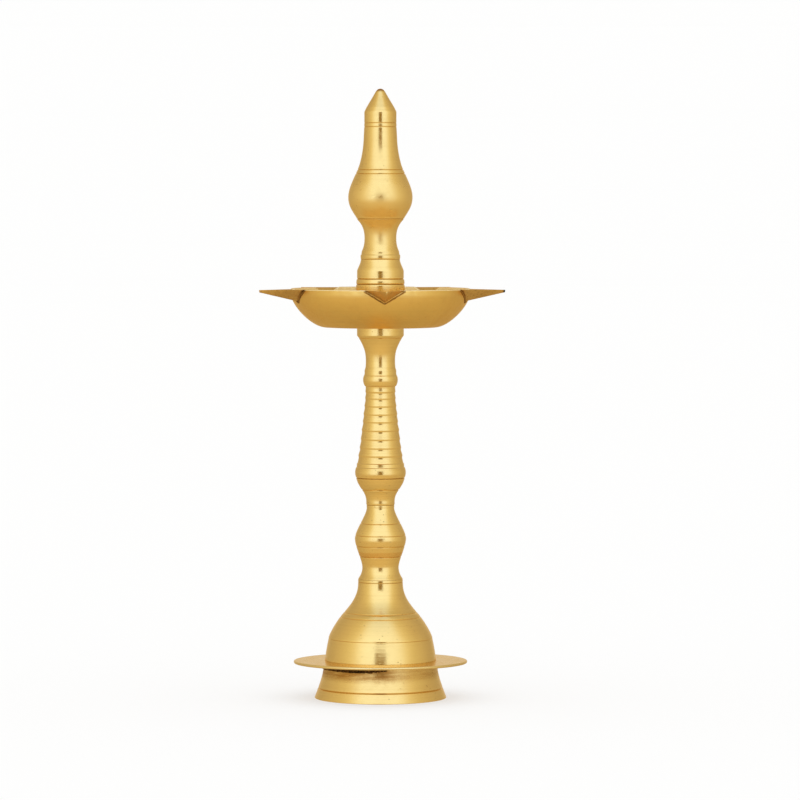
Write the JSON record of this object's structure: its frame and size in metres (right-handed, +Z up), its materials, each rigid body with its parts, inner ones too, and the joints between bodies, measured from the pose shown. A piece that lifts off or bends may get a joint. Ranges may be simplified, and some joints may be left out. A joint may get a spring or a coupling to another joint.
{
  "type": "standing oil lamp",
  "caption": "Turned brass standing oil lamp with a belled foot and drip tray, a screwed stem, a shallow bowl with pointed wick beaks, and a tall spire.",
  "frame": {"origin": "centre of the ring that the foot stands on, on the lamp's axis", "axes": "+Z up along the lamp's axis, -Y to the front, where one beak points"},
  "size_m": [0.1324, 0.1259, 0.3302],
  "materials": {
    "brass": "polished",
    "brass_bowl": "satin",
    "brass_beak": "filed",
    "brass_thread": "machined",
    "braze": "rough, dark flux"
  },
  "bodies": {
    "base": {"foot_skirt": "brass", "drip_tray": "brass", "tray_braze": "braze", "bell": "brass"},
    "knop_screw": {"knop_stud": "brass_thread"},
    "knop": {"knop": "brass"},
    "column_screw": {"column_stud": "brass_thread"},
    "column": {"column": "brass"},
    "bowl": {"oil_bowl": "brass_bowl", "beak_1": "brass_beak", "beak_2": "brass_beak", "beak_3": "brass_beak", "beak_4": "brass_beak", "beak_5": "brass_beak", "beak_braze_1": "braze", "beak_braze_2": "braze", "beak_braze_3": "braze", "beak_braze_4": "braze", "beak_braze_5": "braze"},
    "collar_screw": {"collar_stud": "brass_thread"},
    "collar": {"collar": "brass"},
    "spire_screw": {"spire_stud": "brass_thread"},
    "spire": {"spire": "brass"}
  },
  "joints": [
    {"name": "knop_rise", "type": "slide", "parent": "base", "child": "knop_screw", "axis": [0, 0, 1], "range_m": [0, 0.01]},
    {"name": "knop_turn", "type": "hinge", "parent": "knop_screw", "child": "knop", "pos_m": [0, 0, 0.0646], "axis": [0, 0, 1], "range_deg": [0, 1800]},
    {"name": "column_rise", "type": "slide", "parent": "knop", "child": "column_screw", "axis": [0, 0, 1], "range_m": [0, 0.01]},
    {"name": "column_turn", "type": "hinge", "parent": "column_screw", "child": "column", "pos_m": [0, 0, 0.1049], "axis": [0, 0, 1], "range_deg": [0, 1800]},
    {"name": "bowl_turn", "type": "hinge", "parent": "column", "child": "bowl", "pos_m": [0, 0, 0.2013], "axis": [0, 0, 1], "continuous": true},
    {"name": "collar_rise", "type": "slide", "parent": "column", "child": "collar_screw", "axis": [0, 0, 1], "range_m": [0, 0.01]},
    {"name": "collar_turn", "type": "hinge", "parent": "collar_screw", "child": "collar", "pos_m": [0, 0, 0.2035], "axis": [0, 0, 1], "range_deg": [0, 1800]},
    {"name": "spire_rise", "type": "slide", "parent": "collar", "child": "spire_screw", "axis": [0, 0, 1], "range_m": [0, 0.01]},
    {"name": "spire_turn", "type": "hinge", "parent": "spire_screw", "child": "spire", "pos_m": [0, 0, 0.238], "axis": [0, 0, 1], "range_deg": [0, 1800]}
  ],
  "couplings": [
    {"joint": "knop_turn", "follows": "knop_rise", "rad_per_m": 3141.6},
    {"joint": "column_turn", "follows": "column_rise", "rad_per_m": 3141.6},
    {"joint": "collar_turn", "follows": "collar_rise", "rad_per_m": 3141.6},
    {"joint": "spire_turn", "follows": "spire_rise", "rad_per_m": 3141.6}
  ]
}
